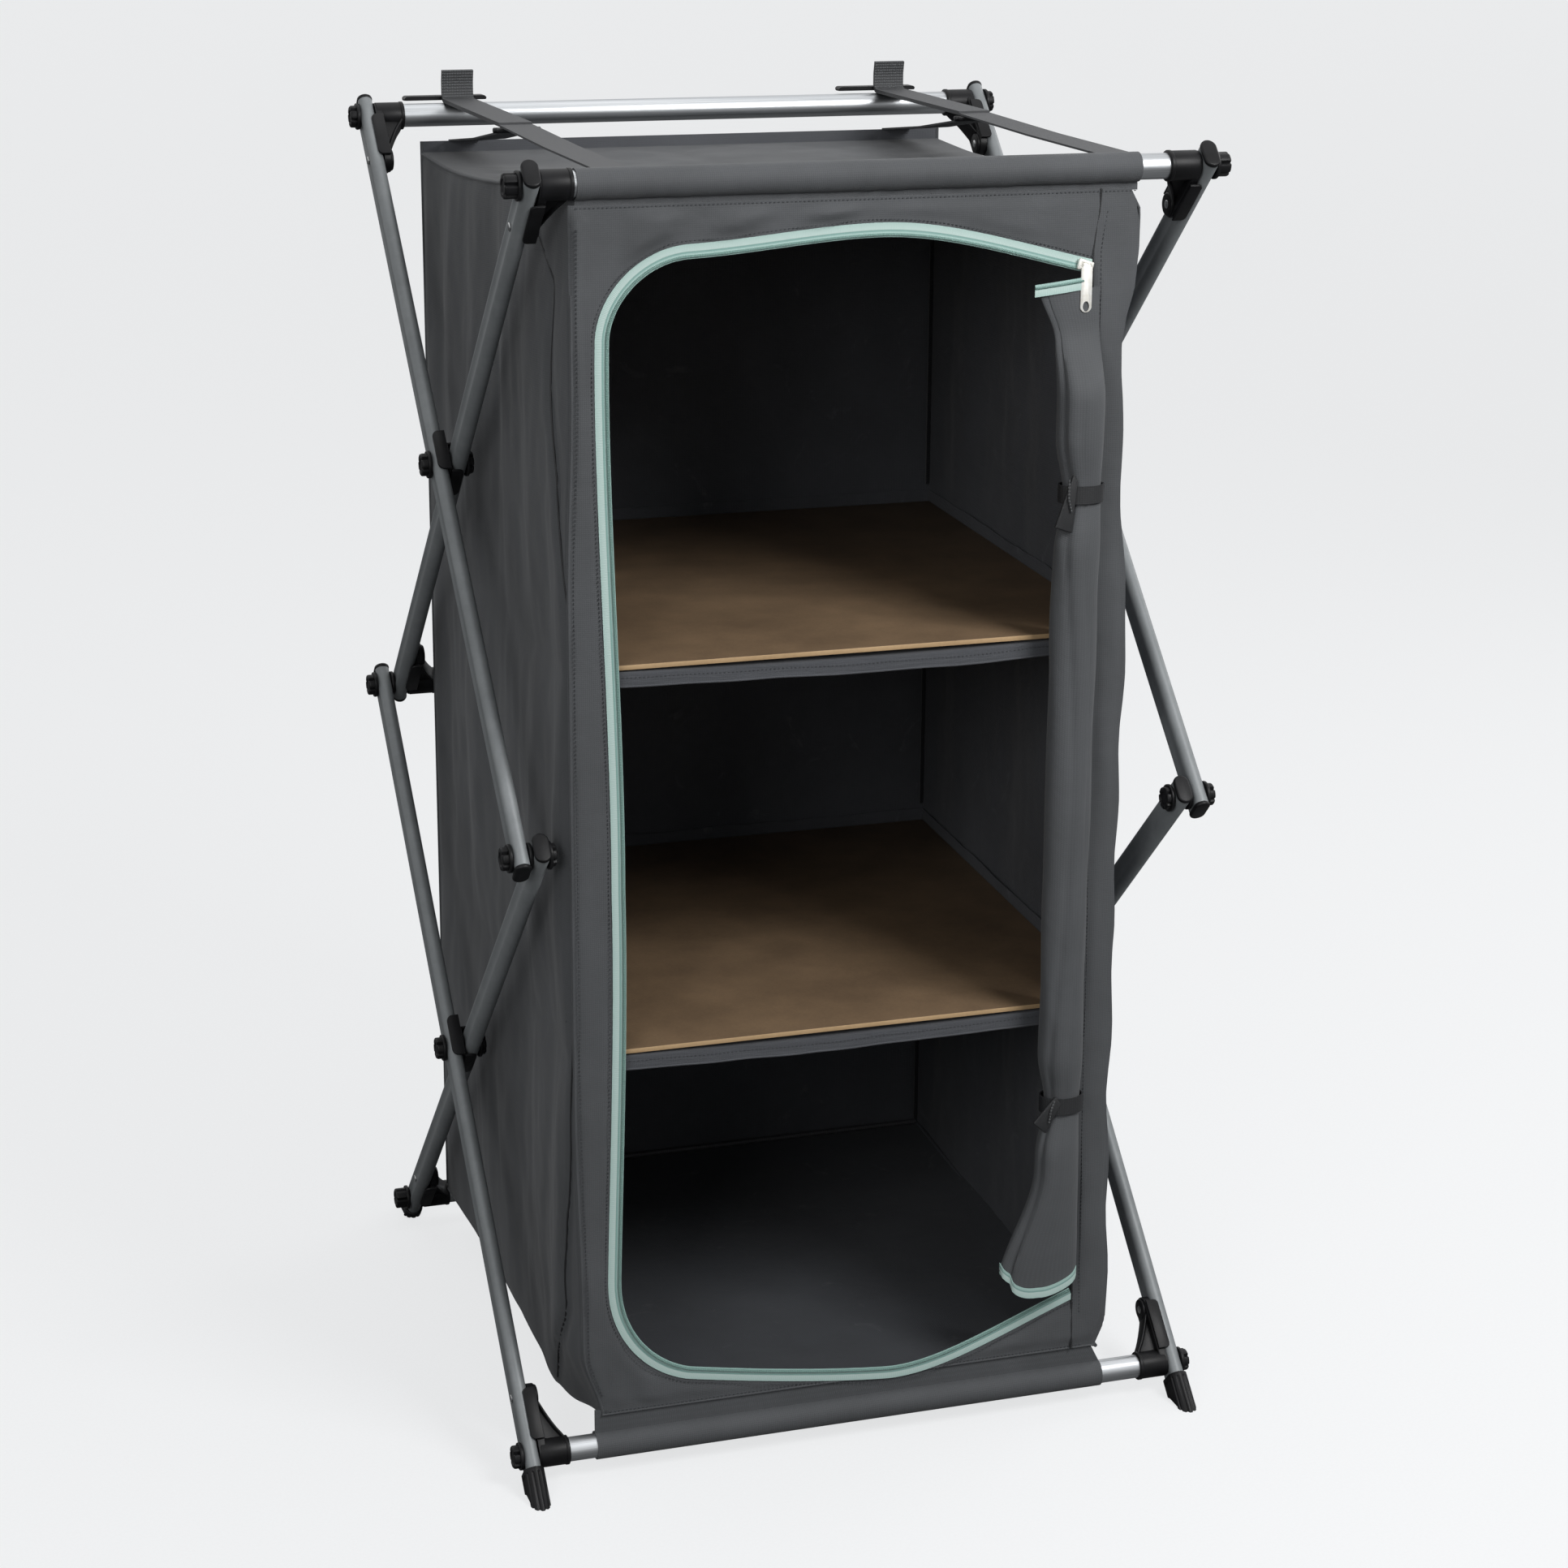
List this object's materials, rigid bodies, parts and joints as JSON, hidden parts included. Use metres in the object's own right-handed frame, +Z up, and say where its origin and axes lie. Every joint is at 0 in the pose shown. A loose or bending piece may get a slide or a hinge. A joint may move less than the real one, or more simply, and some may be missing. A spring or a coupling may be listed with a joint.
{
  "type": "camping cupboard",
  "caption": "Free-standing folding cupboard: scissor frame of flat-oval bars and round tubes, fabric body with rolled zip door, loose boards on fabric shelves.",
  "frame": {"origin": "on the floor under the middle of the frame", "axes": "+Z up, +Y to the back, +X to the right as seen from the door"},
  "size_m": [0.6, 0.6284, 1.0923],
  "materials": {
    "bar_metal": "satin grey coating",
    "tube_metal": "drawn, plain",
    "black_plastic": "moulded, satin black",
    "cloth": "coated dark grey cloth",
    "webbing": "woven dark grey webbing",
    "zip_tape": "woven mint green tape",
    "shelf_board": "thin brown fibreboard",
    "zip_metal": "die-cast, bright"
  },
  "bodies": {
    "cupboard_body": {"front_panel": "cloth", "left_side_panel": "cloth", "right_side_panel": "cloth", "back_panel": "cloth", "floor_panel": "cloth", "bottom_front_sleeve": "cloth", "zip_tape": "zip_tape", "rolled_door": "cloth", "upper_door_tie": "webbing", "lower_door_tie": "webbing"},
    "bottom_front_frame": {"bottom_front_tube": "tube_metal", "bottom_front_bar_left": "bar_metal", "bottom_front_bar_right": "bar_metal", "bottom_front_bracket_left": "black_plastic", "bottom_front_bracket_right": "black_plastic", "lower_cross_pivot_left": "black_plastic", "lower_cross_pivot_right": "black_plastic", "bottom_front_foot_left": "black_plastic", "bottom_front_foot_right": "black_plastic", "mid_rear_pivot_left": "black_plastic", "mid_rear_pivot_right": "black_plastic"},
    "bottom_rear_frame": {"bottom_rear_tube": "tube_metal", "bottom_rear_bar_left": "bar_metal", "bottom_rear_bar_right": "bar_metal", "bottom_rear_bracket_left": "black_plastic", "bottom_rear_bracket_right": "black_plastic", "bottom_rear_saddle_left": "black_plastic", "bottom_rear_saddle_right": "black_plastic", "bottom_rear_foot_left": "black_plastic", "bottom_rear_foot_right": "black_plastic"},
    "top_front_frame": {"top_front_tube": "tube_metal", "mid_rear_tube": "tube_metal", "top_front_bar_left": "bar_metal", "top_front_bar_right": "bar_metal", "top_front_bracket_left": "black_plastic", "top_front_bracket_right": "black_plastic", "top_front_saddle_left": "black_plastic", "top_front_saddle_right": "black_plastic", "mid_rear_bracket_left": "black_plastic", "mid_rear_bracket_right": "black_plastic"},
    "top_rear_frame": {"top_rear_tube": "tube_metal", "top_rear_bar_left": "bar_metal", "top_rear_bar_right": "bar_metal", "top_rear_bracket_left": "black_plastic", "top_rear_bracket_right": "black_plastic", "upper_cross_pivot_left": "black_plastic", "upper_cross_pivot_right": "black_plastic", "mid_front_pivot_left": "black_plastic", "mid_front_pivot_right": "black_plastic"},
    "top_cover": {"top_panel": "cloth"},
    "upper_sling": {"upper_shelf_sling": "cloth"},
    "lower_sling": {"lower_shelf_sling": "cloth"},
    "upper_board": {"upper_shelf_board": "shelf_board"},
    "lower_board": {"lower_shelf_board": "shelf_board"},
    "zip_slider_body": {"zip_slider": "zip_metal"},
    "zip_puller_body": {"zip_puller": "zip_metal"},
    "left_strap": {"left_rear_strap": "webbing", "left_strap_hook": "black_plastic"},
    "right_strap": {"right_rear_strap": "webbing", "right_strap_hook": "black_plastic"}
  },
  "joints": [
    {"name": "fold", "type": "hinge", "parent": "bottom_front_frame", "child": "bottom_rear_frame", "pos_m": [0, 0, 0.283], "axis": [1, 0, 0], "range_deg": [0, 75.5], "deforming": ["front_panel", "left_side_panel", "right_side_panel", "back_panel", "zip_tape", "rolled_door", "upper_door_tie", "lower_door_tie"]},
    {"name": "bottom_front_hinge", "type": "hinge", "parent": "cupboard_body", "child": "bottom_front_frame", "pos_m": [0, -0.2675, 0.026], "axis": [1, 0, 0], "range_deg": [-37.75, 0]},
    {"name": "mid_rear_hinge", "type": "hinge", "parent": "bottom_front_frame", "child": "top_front_frame", "pos_m": [0, 0.2675, 0.54], "axis": [1, 0, 0], "range_deg": [0, 75.5]},
    {"name": "mid_front_hinge", "type": "hinge", "parent": "bottom_rear_frame", "child": "top_rear_frame", "pos_m": [0, -0.2675, 0.54], "axis": [1, 0, 0], "range_deg": [-75.5, 0]},
    {"name": "top_front_hinge", "type": "hinge", "parent": "top_front_frame", "child": "top_cover", "pos_m": [0, -0.2675, 1.054], "axis": [1, 0, 0], "range_deg": [-37.75, 0]},
    {"name": "upper_shelf_drop", "type": "slide", "parent": "cupboard_body", "child": "upper_sling", "axis": [0, 0, -1], "range_m": [0, 0.5553]},
    {"name": "lower_shelf_drop", "type": "slide", "parent": "cupboard_body", "child": "lower_sling", "axis": [0, 0, -1], "range_m": [0, 0.2878]},
    {"name": "upper_board_lift", "type": "slide", "parent": "upper_sling", "child": "upper_board", "axis": [0, 0, -1], "range_m": [-0.31, 0]},
    {"name": "lower_board_lift", "type": "slide", "parent": "lower_sling", "child": "lower_board", "axis": [0, 0, -1], "range_m": [-0.28, 0]},
    {"name": "zip_slide", "type": "slide", "parent": "top_cover", "child": "zip_slider_body", "axis": [-0.9689, 0, 0.2473], "range_m": [0, 0.1]},
    {"name": "zip_puller_swing", "type": "hinge", "parent": "zip_slider_body", "child": "zip_puller_body", "pos_m": [0.1697, -0.2764, 0.98061], "axis": [-1, 0, 0], "range_deg": [0, 80]},
    {"name": "left_strap_lift", "type": "hinge", "parent": "top_cover", "child": "left_strap", "pos_m": [-0.203, 0.05, 1.0659], "axis": [1, 0, 0], "range_deg": [0, 90]},
    {"name": "right_strap_lift", "type": "hinge", "parent": "top_cover", "child": "right_strap", "pos_m": [0.2, 0.05, 1.0659], "axis": [1, 0, 0], "range_deg": [0, 90]}
  ],
  "couplings": [
    {"joint": "bottom_front_hinge", "follows": "fold", "ratio": -0.5},
    {"joint": "mid_rear_hinge", "follows": "fold", "ratio": 1},
    {"joint": "mid_front_hinge", "follows": "fold", "ratio": -1},
    {"joint": "top_front_hinge", "follows": "fold", "ratio": -0.5},
    {"joint": "upper_shelf_drop", "follows": "fold", "m_per_rad": 0.4214},
    {"joint": "lower_shelf_drop", "follows": "fold", "m_per_rad": 0.2184}
  ]
}
